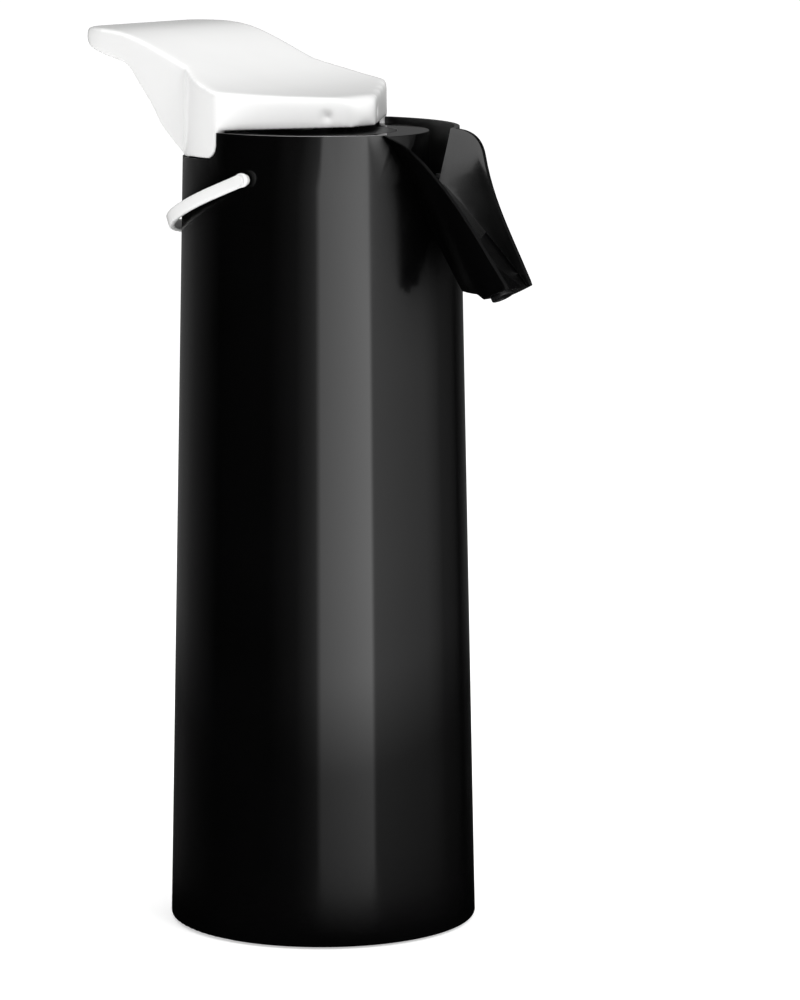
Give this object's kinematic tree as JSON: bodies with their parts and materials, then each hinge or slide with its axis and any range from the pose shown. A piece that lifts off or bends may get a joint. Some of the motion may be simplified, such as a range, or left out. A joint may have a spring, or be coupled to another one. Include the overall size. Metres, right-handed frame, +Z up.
{
  "type": "pump vacuum jug",
  "caption": "Tall tapered pump vacuum jug with a trough beak, a hinged press lever with a raised tail, a pump head over a vacuum liner and a hoop bail",
  "frame": {"origin": "centre of the base, on the surface that the jug stands on", "axes": "+Z up along the jug's axis, +X towards the beak, +Y towards the far side of the picture"},
  "size_m": [0.2264, 0.1424, 0.4135],
  "materials": {
    "gloss_black": "high gloss moulded black",
    "satin_black": "satin moulded black",
    "gloss_white": "smooth glossy white",
    "steel": "plain steel",
    "rubber": "soft black rubber",
    "clear_seal": "translucent silicone",
    "natural": "natural polypropylene",
    "silvered_glass": "silvered glass"
  },
  "bodies": {
    "jug": {"outer_shell": "gloss_black", "base_cover": "satin_black", "base_screws": "steel", "foot_ring": "rubber", "liner_cushion": "rubber", "vacuum_liner": "silvered_glass", "shoulder_pad": "rubber", "neck_seal": "clear_seal", "collar": "gloss_black", "collar_screws": "steel", "outlet_grommet": "clear_seal", "head_cup": "natural", "air_flap": "clear_seal", "plug_seal": "clear_seal", "head_disc": "satin_black", "return_spring": "steel", "dip_tube": "natural", "outlet_pipe": "natural", "nozzle": "satin_black", "lever_pin": "steel", "bail_studs": "gloss_white", "bail_washers": "clear_seal"},
    "lever": {"lever": "gloss_white"},
    "pump": {"plunger": "natural", "piston": "natural", "piston_seal": "clear_seal"},
    "bail": {"bail": "gloss_white"}
  },
  "joints": [
    {"name": "lever_hinge", "type": "hinge", "parent": "jug", "child": "lever", "pos_m": [0.018, 0, 0.376], "axis": [0, 1, 0], "range_deg": [0, 24]},
    {"name": "plunger_slide", "type": "slide", "parent": "jug", "child": "pump", "axis": [0, 0, 1], "range_m": [0, 0.0123], "deforming": ["return_spring"]},
    {"name": "bail_swing", "type": "hinge", "parent": "jug", "child": "bail", "pos_m": [0.008, 0, 0.35], "axis": [0, 1, 0], "range_deg": [0, 30]}
  ],
  "couplings": [
    {"joint": "plunger_slide", "follows": "lever_hinge", "m_per_rad": 0.029125}
  ]
}
